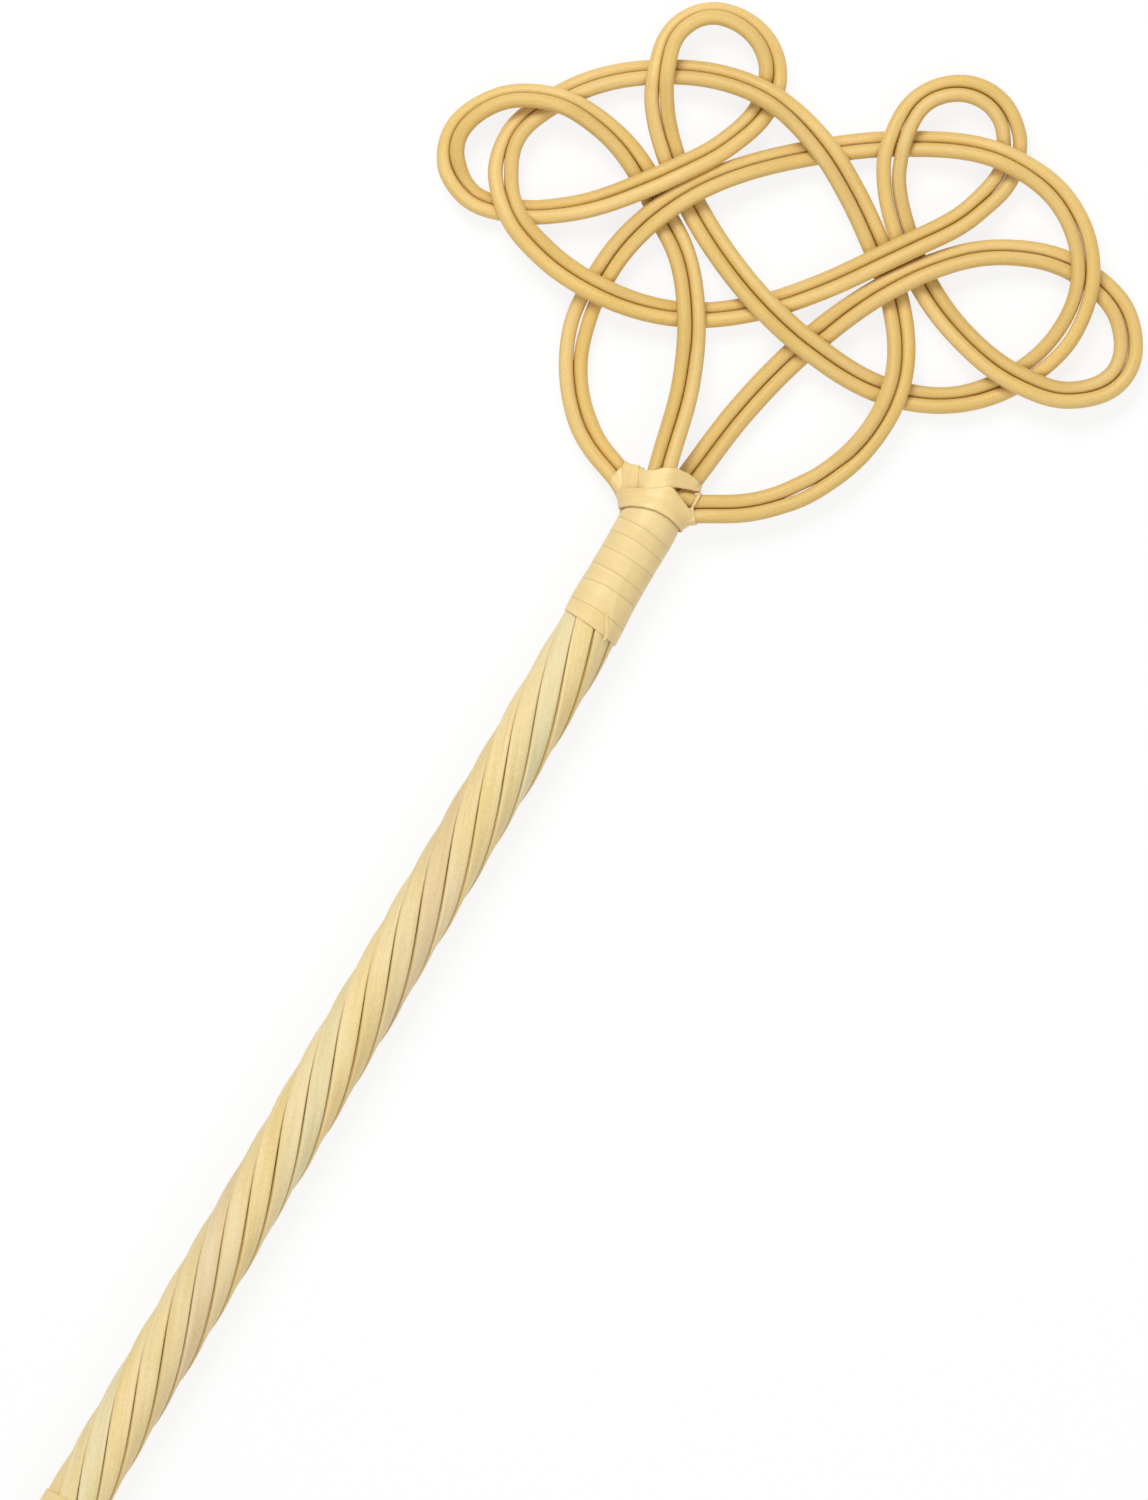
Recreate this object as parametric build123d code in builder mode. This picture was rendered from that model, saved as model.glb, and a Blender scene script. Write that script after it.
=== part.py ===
"""Rattan carpet beater: a flat knot of two double canes on a twisted handle.

The beater lies on its back. X runs across the head, Y from the butt towards the head and Z up
from the surface that it lies on. The origin is under the middle of the beater's outline.
"""

from build123d import *
import math
import os

os.makedirs("parts", exist_ok=True)

# Overall sizes, in millimetres
OVERALL_LENGTH = 600.0
HEAD_WIDTH = 250.0
HEAD_LENGTH = 200.0

# Canes and the space between them
CANE_DIAMETER = 4.8
CANE_SIDES = 6
PAIR_GAP = 0.25
LAYER_GAP = 0.4
PAIR_PITCH = CANE_DIAMETER + PAIR_GAP
LAYER_RISE = (CANE_DIAMETER + LAYER_GAP) / 2

# Handle: eight cane ends, pressed oval, twisted left-handed round a core
STRANDS = 8
STRAND_WIDTH = 5.9
STRAND_DEPTH = 4.0
STRAND_RING_RADIUS = 8.4
TWIST_PITCH = 155.0
CORE_CLEARANCE = 0.3
CORE_RADIUS = STRAND_RING_RADIUS - STRAND_DEPTH / 2 - CORE_CLEARANCE
CORE_TIP_RADIUS = 3.0
CORE_CHAMFER = 1.0

# Binding strip of flat peel, wound round the handle's neck and round its butt
STRIP_THICKNESS = 0.6
STRIP_WIDTH = 6.1
STRIP_PITCH = 6.7
STRIP_SEAT = 0.25
NECK_QUARTER_TURNS = 23
NECK_FLARE = 0.2
FLARED_QUARTERS = 3
NECK_WIND_START = 31.6
BUTT_QUARTER_TURNS = 6
BUTT_MARGIN = 3.0
BINDING_RADIUS = STRAND_RING_RADIUS + STRAND_DEPTH / 2 + STRIP_SEAT
HANDLE_RADIUS = BINDING_RADIUS + STRIP_THICKNESS

# Places along the beater: the ring where the eight cane ends enter the neck, and the twist below
CROWN_share = 1.0135
RING_PAST_HEAD_BASE = 4.0
NECK_LENGTH = 29.0
RING_RADIUS = 8.0
HEAD_Y = OVERALL_LENGTH / 2 - CROWN_share * HEAD_LENGTH
RING_Y = HEAD_Y + RING_PAST_HEAD_BASE
TWIST_Y = RING_Y - NECK_LENGTH
BUTT_Y = -OVERALL_LENGTH / 2

# Counts for measuring: arcs of a cane's end that the collar may cross, halvings of such an arc, and
# points on each arc of a winding
NECK_ARCS = 6
BISECTIONS = 30
GAP_SAMPLES = 8

# Places across and up: the handle stands a little right of the head's middle, and the head's
# middle layer lies below the handle's axis
AXIS_SIDE_share = 0.0258
AXIS_X = AXIS_SIDE_share * HEAD_WIDTH
AXIS_Z = HANDLE_RADIUS
HEAD_DROP = 3.75
HEAD_Z = AXIS_Z - HEAD_DROP

# The cane ends' slots in the ring are half a step off the top, and the neck turns them on a little
FIRST_SLOT_ANGLE = 22.5
SLOT_STEP = 360 / STRANDS
NECK_TURN = 30.0

# Two knots in the head, where two pairs cross two pairs. Each place is a share of the head's
# width and length, and the last two values step from the knot's middle in pair pitches
LEFT_KNOT_NEAR_share = (-0.212, 0.574, 0.36, -1.47)
LEFT_KNOT_RIGHT_share = (-0.212, 0.574, 1.37, 0.30)
LEFT_KNOT_FAR_share = (-0.212, 0.574, -0.36, 1.47)
LEFT_KNOT_LEFT_share = (-0.212, 0.574, -1.37, -0.30)
RIGHT_KNOT_NEAR_share = (0.117, 0.660, 0.25, -1.45)
RIGHT_KNOT_RIGHT_share = (0.117, 0.660, 1.38, 0.24)
RIGHT_KNOT_FAR_share = (0.117, 0.660, -0.25, 1.45)
RIGHT_KNOT_LEFT_share = (0.117, 0.660, -1.38, -0.24)

# Routes of the two pairs through the head: shares of the head's width (from the handle's axis)
# and length, then the height in layers over the head's middle layer
PAIR_A_shares = [
    ((-0.074, 0.105), -0.2),
    ((-0.128, 0.126), -0.7),
    ((-0.234, 0.358), -1),
    (LEFT_KNOT_NEAR_share, 1),
    (LEFT_KNOT_RIGHT_share, 1),
    ((-0.057, 0.765), -1),
    ((0.027, 0.843), -1),
    ((0.176, 0.912), 1),
    ((0.264, 0.902), 0.9),
    ((0.344, 0.812), 1.1),
    ((0.336, 0.591), -1.1),
    ((0.198, 0.465), -1),
    ((0.059, 0.458), 1),
    ((-0.018, 0.480), 1.1),
    (LEFT_KNOT_RIGHT_share, -1),
    (LEFT_KNOT_FAR_share, -1),
    ((-0.307, 0.741), 1),
    ((-0.316, 0.818), 0.4),
    ((-0.178, 0.850), -0.8),
    ((-0.160, 0.790), -1),
    ((-0.177, 0.690), -0.2),
    (LEFT_KNOT_FAR_share, 1),
    (LEFT_KNOT_LEFT_share, 1),
    ((-0.318, 0.455), 0),
    ((-0.383, 0.399), -1.1),
    ((-0.454, 0.389), -0.6),
    ((-0.504, 0.448), 0),
    ((-0.487, 0.547), 0.6),
    ((-0.417, 0.605), 1.2),
    (LEFT_KNOT_LEFT_share, -1),
    (LEFT_KNOT_NEAR_share, -1),
    ((-0.100, 0.404), 1),
    ((-0.056, 0.297), 1.4),
    ((-0.030, 0.165), 2.6),
]
PAIR_B_shares = [
    ((0.014, 0.165), -1.2),
    ((0.029, 0.300), -1),
    ((0.059, 0.458), -1),
    (RIGHT_KNOT_NEAR_share, 1),
    (RIGHT_KNOT_RIGHT_share, 1),
    ((0.344, 0.812), -1.1),
    ((0.424, 0.772), -0.5),
    ((0.454, 0.692), 0),
    ((0.412, 0.614), 0.8),
    ((0.336, 0.591), 1.1),
    ((0.238, 0.611), 0),
    (RIGHT_KNOT_RIGHT_share, -1),
    (RIGHT_KNOT_FAR_share, -1),
    ((0.027, 0.843), 1),
    ((0.029, 0.935), 0.5),
    ((0.104, 0.991), 0),
    ((0.176, 0.912), -1),
    ((0.167, 0.811), 0),
    (RIGHT_KNOT_FAR_share, 1),
    (RIGHT_KNOT_LEFT_share, 1),
    ((-0.018, 0.480), -1.1),
    ((-0.100, 0.404), -1),
    ((-0.234, 0.358), 1),
    ((-0.383, 0.399), 1.1),
    ((-0.438, 0.512), 0),
    ((-0.417, 0.605), -1.2),
    ((-0.307, 0.741), -1),
    ((-0.160, 0.797), 1),
    ((-0.057, 0.765), 1.1),
    ((0.009, 0.727), 0.2),
    (RIGHT_KNOT_LEFT_share, -1),
    (RIGHT_KNOT_NEAR_share, -1),
    ((0.198, 0.465), 1),
    ((0.167, 0.258), 0.4),
    ((0.110, 0.169), 0.3),
    ((0.044, 0.116), 0.8),
]

# Two cane ends pass through one more place each, between the ring and the head
LEFT_LEG_BEND_share = ((-0.030, 0.073), 1.9)
RIGHT_LEG_BEND_share = ((0.016, 0.090), 1.9)

# The four canes: the pair's route, the side of the pair that the cane runs on, the slots of its
# two ends, and the extra places after its first slot and before its last
CANES = {
    "cane_a_left": (PAIR_A_shares, -1, (5, 0), [], []),
    "cane_a_right": (PAIR_A_shares, 1, (6, 7), [LEFT_LEG_BEND_share], []),
    "cane_b_left": (PAIR_B_shares, -1, (4, 2), [], []),
    "cane_b_right": (PAIR_B_shares, 1, (3, 1), [], [RIGHT_LEG_BEND_share]),
}

# Collar: a lower band round all the canes, an upper band round the two middle pairs and a tie
# round the left leg. A band lies in planes at shares of the head's length, which lean forward
# per step up and per step to the right. The lower band leaves room beside and over the
# outermost canes that pass through it, and its far edge is moved a little to the left and up
COLLAR_SEAT = 0.3
LOWER_BAND_CORNER = 8.0
LOWER_BAND_NEAR_share = 0.061
LOWER_BAND_NEAR_LEAN_shares = (0.38, 0.20)
LOWER_BAND_NEAR_SIDE_ROOM = 0.7
LOWER_BAND_NEAR_DEPTH_ROOM = 0.2
LOWER_BAND_FAR_share = 0.085
LOWER_BAND_FAR_LEAN_shares = (0.42, 0.11)
LOWER_BAND_FAR_SIDE_ROOM = 1.4
LOWER_BAND_FAR_DEPTH_ROOM = 0.8
LOWER_BAND_FAR_SIDE_SHIFT = -0.3
LOWER_BAND_FAR_DOWN_SHIFT = -0.4
UPPER_BAND_share = 0.14
UPPER_BAND_WIDTH = 5.0
UPPER_BAND_LEAN_shares = (0.05, 0.30)
TIE_WIDTH = 4.5
TIE_INSET = 1.5


def place(spot):
    """Point of the head for a place in shares, with any steps of pair pitch added."""
    (across, along, *steps), layers = spot
    side, ahead = steps or (0, 0)
    return Vector(
        AXIS_X + across * HEAD_WIDTH + side * PAIR_PITCH,
        HEAD_Y + along * HEAD_LENGTH + ahead * PAIR_PITCH,
        HEAD_Z + layers * LAYER_RISE,
    )


def level(vector):
    """The vector's direction with its rise taken out."""
    return Vector(vector.X, vector.Y, 0).normalized()


def heading_at(before, here, after):
    """Level direction of a curve through three points: the tangent of their circle."""
    arriving = level(here - before) * (after - here).length
    leaving = level(after - here) * (here - before).length
    return level(arriving + leaving)


def ring_point(slot, radius, y, turn=0.0):
    """Point on a ring round the handle's axis, counted in slots from the top."""
    angle = math.radians(FIRST_SLOT_ANGLE + slot * SLOT_STEP + turn)
    return Vector(AXIS_X + radius * math.sin(angle), y, AXIS_Z + radius * math.cos(angle))


def cane_route(pair, side, slots, first_bends, last_bends):
    """Places and level headings of one cane, from its first slot round the head to its last."""
    middle = [place(spot) for spot in pair]
    headings = [level(middle[1] - middle[0])]
    headings += [heading_at(*middle[i - 1 : i + 2]) for i in range(1, len(middle) - 1)]
    headings += [level(middle[-1] - middle[-2])]
    offset = side * PAIR_PITCH / 2
    beside = [p + Vector(h.Y, -h.X, 0) * offset for p, h in zip(middle, headings)]
    first = ring_point(slots[0], RING_RADIUS, RING_Y)
    last = ring_point(slots[1], RING_RADIUS, RING_Y)
    points = [first, *map(place, first_bends), *beside, *map(place, last_bends), last]
    forward = Vector(0, 1, 0)
    lead = [forward]
    lead += [heading_at(*points[i - 1 : i + 2]) for i in range(1, len(first_bends) + 1)]
    end = len(points) - 1
    tail = [heading_at(*points[i - 1 : i + 2]) for i in range(end - len(last_bends), end)]
    tail += [-forward]
    return points, lead + headings + tail


def biarc_joint(start, start_heading, end, end_heading):
    """Where two arcs meet that leave one point and reach the next along their headings."""
    chord = end - start
    spread = 2 * (1 - start_heading.dot(end_heading))
    pull = chord.dot(start_heading + end_heading)
    root = math.sqrt(pull**2 + spread * chord.dot(chord))
    reach = chord.dot(chord) / (pull + root)
    return (start + end + (start_heading - end_heading) * reach) / 2


def biarcs(points, headings):
    """Draw the chain of tangent arcs through the points, two between each and the next."""
    for i in range(len(points) - 1):
        joint = biarc_joint(points[i], headings[i], points[i + 1], headings[i + 1])
        first = TangentArc(points[i], joint, tangent=headings[i])
        TangentArc(joint, points[i + 1], tangent=first % 1)


def oval_points(slot, y):
    """Corners of a strand's pressed oval section, with its flats facing out and to the sides."""
    centre = ring_point(slot, STRAND_RING_RADIUS, y, NECK_TURN)
    outward = (centre - Vector(AXIS_X, y, AXIS_Z)).normalized()
    sideways = Vector(outward.Z, 0, -outward.X)
    grow = 1 / math.cos(math.pi / CANE_SIDES)
    corners = []
    for i in range(CANE_SIDES):
        angle = (2 * i + 1) * math.pi / CANE_SIDES
        depth = STRAND_DEPTH / 2 * grow * math.cos(angle)
        width = STRAND_WIDTH / 2 * grow * math.sin(angle)
        corners.append(centre + outward * depth + sideways * width)
    return corners


def winding_route(start_y, quarters, flare):
    """Quarter-turn points and headings of a strip wound up the handle from its underside."""
    points = []
    headings = []
    for i in range(quarters + 1):
        angle = math.pi + i * math.pi / 2
        grown = flare if i > quarters - FLARED_QUARTERS else 0
        radius = BINDING_RADIUS + STRIP_THICKNESS / 2 + grown
        outward = Vector(math.sin(angle), 0, math.cos(angle))
        turning = Vector(math.cos(angle), 0, -math.sin(angle))
        climb = Vector(0, STRIP_PITCH / (2 * math.pi * radius), 0)
        points.append(Vector(AXIS_X, start_y + i * STRIP_PITCH / 4, AXIS_Z) + outward * radius)
        headings.append((turning + climb).normalized())
    return points, headings


def winding_gap(edges):
    """Least gap between a strip's upper edge and the lower edge of the next turn, on points."""
    upper = []
    lower = []
    for edge in edges:
        for i in range(GAP_SAMPLES):
            spot = edge @ (i / GAP_SAMPLES)
            along = edge % (i / GAP_SAMPLES)
            across = (Vector(0, 1, 0) - along * along.Y).normalized() * (STRIP_WIDTH / 2)
            upper.append(spot + across)
            lower.append(spot - across)
    half_turn = 4 * GAP_SAMPLES
    pairs = [(p, q) for i, p in enumerate(upper) for q in lower[i + half_turn : i + 3 * half_turn]]
    return min((p - q).length for p, q in pairs)


def leaning_plane(share, lean_shares):
    """Plane across the collar at a share of the head's length, with its middle on the axis."""
    up_lean, side_lean = lean_shares
    middle = Vector(AXIS_X, HEAD_Y + share * HEAD_LENGTH, AXIS_Z)
    return Plane(middle, x_dir=(1, side_lean, 0), z_dir=(-side_lean, 1, -up_lean))


def crossing(edges, plane):
    """Where a cane's centre line passes through a plane, in the plane's own coordinates."""
    for edge in edges:
        low = 0.0
        high = 1.0
        below = plane.to_local_coords(edge @ low).Z < 0
        if below == (plane.to_local_coords(edge @ high).Z < 0):
            continue
        for _ in range(BISECTIONS):
            middle = (low + high) / 2
            if (plane.to_local_coords(edge @ middle).Z < 0) == below:
                low = middle
            else:
                high = middle
        spot = plane.to_local_coords(edge @ low)
        return (spot.X, spot.Y)
    raise ValueError("The cane doesn't pass through the plane")


# Canes: each is one piece from the butt, up the twist, round the head and back to the butt. Its
# skin is drawn in stretches, which share their end outlines, and is then closed into one solid
twist_axis = Edge.make_line((AXIS_X, TWIST_Y, AXIS_Z), (AXIS_X, BUTT_Y, AXIS_Z))
twist_guide = Edge.make_helix(
    TWIST_PITCH,
    TWIST_Y - BUTT_Y,
    STRAND_RING_RADIUS,
    center=(AXIS_X, TWIST_Y, AXIS_Z),
    normal=(0, -1, 0),
    lefthand=True,
)
twist_top = Plane((AXIS_X, TWIST_Y, AXIS_Z), x_dir=(1, 0, 0), z_dir=(0, -1, 0))
neck_arcs = {}
for cane_name, (pair, side, slots, first_bends, last_bends) in CANES.items():
    points, headings = cane_route(pair, side, slots, first_bends, last_bends)
    with BuildPart() as cane:
        with BuildLine() as route:
            biarcs(points, headings)
        with BuildSketch(Plane(points[0], z_dir=headings[0]), mode=Mode.PRIVATE) as round_section:
            RegularPolygon(CANE_DIAMETER / 2, CANE_SIDES)
        head = sweep(round_section.sketch, path=route.line, clean=False, mode=Mode.PRIVATE)
        entries, *skin = head.faces().group_by(Axis.Y)
        skin = [face for group in skin for face in group]
        entries = entries.sort_by(lambda face: (face.center() - points[0]).length)
        for slot, entry in zip(slots, entries):
            with BuildSketch(twist_top, mode=Mode.PRIVATE) as oval_section:
                with BuildLine():
                    Polyline(*map(twist_top.to_local_coords, oval_points(slot, TWIST_Y)), close=True)
                make_face()
            oval = oval_section.sketch.face()
            neck = loft([entry, oval], ruled=True, clean=False, mode=Mode.PRIVATE)
            grip = sweep(oval, path=twist_axis, binormal=twist_guide, clean=False, mode=Mode.PRIVATE)
            skin += neck.faces().group_by(Axis.Y)[1]
            skin += grip.faces().sort_by(Axis.Y)[:-1]
        add(Solid(Shell(skin)), clean=False)
    cane.part.label = cane_name
    export_step(cane.part, f"parts/{cane_name}.step")
    arcs = route.edges()
    neck_arcs[cane_name] = (arcs[:NECK_ARCS], arcs[-NECK_ARCS:])
    bends = [arc.radius for arc in arcs]
    print(f"{cane_name}: head run {sum(arc.length for arc in arcs):.0f} mm, least bend {min(bends):.1f} mm")

# Core: the stick that the twisted strands lie round, thinner where the canes draw together
with BuildPart() as handle_core:
    with BuildSketch(Plane((AXIS_X, 0, AXIS_Z))):
        with BuildLine():
            Polyline(
                (0, BUTT_Y),
                (CORE_RADIUS - CORE_CHAMFER, BUTT_Y),
                (CORE_RADIUS, BUTT_Y + CORE_CHAMFER),
                (CORE_RADIUS, TWIST_Y),
                (CORE_TIP_RADIUS, RING_Y),
                (0, RING_Y),
                close=True,
            )
        make_face()
    revolve(axis=Axis((AXIS_X, 0, AXIS_Z), (0, 1, 0)))
handle_core.part.label = "handle_core"
export_step(handle_core.part, "parts/handle_core.step")

# Bindings: each is one unbroken strip of peel, wound with a small gap between its turns
BINDINGS = {
    "neck_binding": (HEAD_Y - NECK_WIND_START, NECK_QUARTER_TURNS, NECK_FLARE),
    "butt_binding": (BUTT_Y + BUTT_MARGIN + STRIP_WIDTH / 2, BUTT_QUARTER_TURNS, 0),
}
for binding_name, (start_y, quarters, flare) in BINDINGS.items():
    points, headings = winding_route(start_y, quarters, flare)
    inside = Edge.make_line((AXIS_X, points[0].Y, AXIS_Z), (AXIS_X, points[-1].Y, AXIS_Z))
    with BuildPart() as binding:
        with BuildLine() as winding:
            biarcs(points, headings)
        with BuildSketch(Plane(points[0], x_dir=(0, 0, 1), z_dir=headings[0])):
            Rectangle(STRIP_THICKNESS, STRIP_WIDTH)
        sweep(path=winding.line, binormal=inside, clean=False)
    binding.part.label = binding_name
    export_step(binding.part, f"parts/{binding_name}.step")
    print(f"{binding_name}: least gap between turns {winding_gap(winding.edges()):.2f} mm")

# Lower band of the collar: a strip drawn round all the canes where they begin to spread. Each
# edge has its plane, its room beside and over the canes, and how far it is moved
LOWER_BAND_EDGES = [
    (
        leaning_plane(LOWER_BAND_NEAR_share, LOWER_BAND_NEAR_LEAN_shares),
        (LOWER_BAND_NEAR_SIDE_ROOM, LOWER_BAND_NEAR_DEPTH_ROOM),
        (0, 0),
    ),
    (
        leaning_plane(LOWER_BAND_FAR_share, LOWER_BAND_FAR_LEAN_shares),
        (LOWER_BAND_FAR_SIDE_ROOM, LOWER_BAND_FAR_DEPTH_ROOM),
        (LOWER_BAND_FAR_SIDE_SHIFT, LOWER_BAND_FAR_DOWN_SHIFT),
    ),
]
cane_ends = [arcs for both_ends in neck_arcs.values() for arcs in both_ends]
with BuildPart() as collar_lower_band:
    for grown, mode in ((STRIP_THICKNESS, Mode.ADD), (0, Mode.SUBTRACT)):
        outlines = []
        for edge, (side_room, depth_room), (side_shift, down_shift) in LOWER_BAND_EDGES:
            sides, downs = zip(*[crossing(arcs, edge) for arcs in cane_ends])
            side = (min(sides) + max(sides)) / 2 + side_shift
            down = (min(downs) + max(downs)) / 2 + down_shift
            with BuildSketch(edge) as outline:
                with Locations((side, down)):
                    RectangleRounded(
                        max(sides) - min(sides) + CANE_DIAMETER + 2 * (side_room + grown),
                        max(downs) - min(downs) + CANE_DIAMETER + 2 * (depth_room + grown),
                        LOWER_BAND_CORNER + grown,
                    )
            outlines.append(outline.sketch.face())
        loft(sections=outlines, ruled=True, mode=mode)
collar_lower_band.part.label = "collar_lower_band"
export_step(collar_lower_band.part, "parts/collar_lower_band.step")


# Collar's strips drawn tight round two pairs: the upper band round the two middle pairs, and the
# tie round the left leg, square to it
leg_start, leg_next = (place(spot) for spot in PAIR_A_shares[:2])
leg_heading = level(leg_next - leg_start)
TIGHT_STRIPS = {
    "collar_upper_band": (
        leaning_plane(UPPER_BAND_share, UPPER_BAND_LEAN_shares),
        UPPER_BAND_WIDTH,
        [("cane_a_left", 1), ("cane_a_right", 1), ("cane_b_left", 0), ("cane_b_right", 0)],
    ),
    "collar_leg_tie": (
        Plane(leg_start - leg_heading * TIE_INSET, x_dir=(0, 0, 1), z_dir=leg_heading),
        TIE_WIDTH,
        [("cane_a_left", 0), ("cane_a_right", 0)],
    ),
}
for strip_name, (middle, width, ends) in TIGHT_STRIPS.items():
    edges = [middle.offset(reach) for reach in (-width / 2, 0, width / 2)]
    spots = [crossing(neck_arcs[name][end], edge) for edge in edges for name, end in ends]
    with BuildPart() as strip:
        for grown, mode in ((STRIP_THICKNESS, Mode.ADD), (0, Mode.SUBTRACT)):
            with BuildSketch(edges[0]):
                with Locations(*spots):
                    Circle(CANE_DIAMETER / 2 + COLLAR_SEAT + grown)
                make_hull()
            extrude(amount=width, mode=mode)
    strip.part.label = strip_name
    export_step(strip.part, f"parts/{strip_name}.step")
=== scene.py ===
"""Looks of a rattan carpet beater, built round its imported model. Tables are in millimetres."""
import math

import bpy
import numpy as np
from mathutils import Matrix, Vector
from mathutils.kdtree import KDTree


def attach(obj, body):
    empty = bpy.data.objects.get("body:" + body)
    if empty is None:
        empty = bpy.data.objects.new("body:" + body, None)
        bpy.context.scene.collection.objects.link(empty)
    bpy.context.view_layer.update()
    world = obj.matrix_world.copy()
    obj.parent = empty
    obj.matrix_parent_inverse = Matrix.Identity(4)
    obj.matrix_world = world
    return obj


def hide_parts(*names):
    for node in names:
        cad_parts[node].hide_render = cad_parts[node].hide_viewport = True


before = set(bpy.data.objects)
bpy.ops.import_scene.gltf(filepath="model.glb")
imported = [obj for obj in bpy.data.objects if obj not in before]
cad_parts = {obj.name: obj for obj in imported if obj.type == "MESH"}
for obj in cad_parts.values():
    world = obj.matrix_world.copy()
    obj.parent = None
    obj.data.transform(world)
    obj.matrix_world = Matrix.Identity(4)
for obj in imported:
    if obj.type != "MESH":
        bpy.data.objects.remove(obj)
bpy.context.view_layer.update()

MM = 0.001
rng = np.random.RandomState(7)
UP = np.array([0.0, 0.0, 1.0])
FORWARD = np.array([0.0, 1.0, 0.0])

# Same as in the part's source: the handle's axis, the head's middle height and the rise of a
# layer, where the ring of slots, the twist and the butt lie along the handle, and the twist
AXIS_X = 6.45
AXIS_Z = 11.25
HEAD_Z = 7.5
RISE = 2.6
RING_Y = 101.3
TWIST_Y = 72.3
BUTT_Y = -300.0
FIRST_SLOT_ANGLE = 22.5
SLOT_STEP = 45
NECK_TURN = 30.0
TWIST_PITCH = 155.0
STRAND_RADIUS = 8.4

# Fitted to the photograph for the looks alone
ROUTE_Y = -2.7  # from the tables' zero along the handle to the model's
RING_RADIUS = 7.5
NECK_SHIFT = -0.5
NECK_SHIFT_FROM_Y = TWIST_Y - 6
NECK_SHIFT_LENGTH = 12
NECK_SETTLE = 14.0
SETTLE_LENGTH = 25
SLIM_FROM_Y = TWIST_Y - 2
SLIM_LENGTH = 14
CANE_RADIUS = 2.52
STRAND_DEPTH = 1.85
STRAND_WIDTH = 3.4
STRAND_TILT = math.radians(6)
STRAND_SQUARENESS = 0.36
STRAND_KEYSTONE = 0.2
# How much painted shade darkens the seams between the handle's strands
STRAND_SEAM_SHADE = 0.6
STRIP_THICKNESS = 0.5

# How finely lines are drawn, smoothed and let wander. Spreads are in samples.
FINE_STEP = 0.5
STEP = 1.5
HANDLE_STEP = 2.5
HEADING_AHEAD = 4
ROUTE_SPREAD = 1.5
HEIGHT_SPREAD = 2.5
FINAL_SPREAD = 1.4
SHARPEST_COSINE = -0.2
WANDER = (18, 0.04)
BUMPS = (14, 0.07)
HIGHEST_BUMP = 0.12
SMOOTH_BEFORE_TWIST = 8
THICKNESS_DRIFT = (25, 0.008)
COLOUR_DRIFT = (30, 0.02)

# How canes that cross are parted
TOUCH_GAP = 0.02
FLOOR_GAP = 0.05
PROUD_HEIGHT = 0.5
SLIT_SHARPNESS = 0.7
CROSSINGS_FROM_Y = 112
OWN_NEIGHBOURS = 12
PARTING_TURNS = 100
PARTING_SHARE = 0.6
SMOOTH_EVERY = 10
SMOOTH_UNTIL = 90

# Middle lines of the two pairs: across from the handle's axis, along, height in layers, how far
# apart the two canes lie, and which of them lies higher: 1 for the one on the right of the way
# that the table runs, -1 for the left one, and in between both lie a full cane apart
PAIR_A = [
    (-18.8, 120.4, -0.2, 4.5, -1), (-32, 125.5, -0.7, 4.6, -1), (-48.7, 141.1, -1, 4.8, -0.8),
    (-57.3, 162.2, -1, 5, 1), (-58.2, 171.5, -1, 5, 0.7), (-57.8, 185.8, -0.2, 4.9, 1),
    (-51.5, 207.5, 1, 4.6, 1), (-46.8, 216.6, 1, 4.2, 1), (-14.2, 252.9, -1, 4.2, 1),
    (6.9, 268.2, -1, 4.2, 1), (43.9, 282.6, 1, 4.3, 1), (65.9, 280, 0.9, 4.8, 1),
    (85.9, 262.4, 1.1, 5, -1), (90.7, 242, 0, 4.9, -1), (83.5, 218.4, -1.1, 4.9, -0.2),
    (68.1, 201, -1, 4.3, -1), (49.7, 192.8, -1, 4.7, -1), (14.7, 192.1, 1, 5, -1),
    (-4.5, 196.2, 1.1, 5, -1), (-25.9, 204.3, 0, 5, -1), (-46.6, 215.8, -1, 4.9, -1),
    (-55, 221.8, -1, 4.7, -0.7), (-76.4, 248.3, 1, 4.3, 1), (-79, 263.6, 0.4, 3.5, 1),
    (-72.8, 273.6, 0.2, 2.9, 1), (-61.9, 277.3, 0, 3.5, 1), (-44.3, 270, -0.8, 4.4, 0.8),
    (-39.6, 258, -1, 4.4, -0.7), (-44.1, 237.9, -0.2, 4.1, -1), (-53.8, 221.5, 1, 4.1, -1),
    (-59.8, 213, 1, 4.2, -1), (-79.6, 191, 0, 3.9, -1), (-96.1, 180.7, -1.1, 3.6, -1),
    (-113.4, 177.7, -0.6, 4, -1), (-126.4, 189.4, 0, 4, 0.8), (-121.5, 209.4, 0.6, 3.4, 1),
    (-104.1, 220.6, 1.2, 3.6, 1), (-83.1, 221.3, 0.3, 4.3, 1), (-60.5, 212.6, -1, 5, 0.2),
    (-51.9, 206.3, -1, 5, 0.5), (-39.2, 198.1, -0.2, 4.8, 0.8), (-24.7, 180.9, 1, 5, 0.5),
    (-14.2, 159.4, 1.4, 5, -0.4), (-7.2, 133.1, 2.6, 4.9, -1),
]
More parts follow.
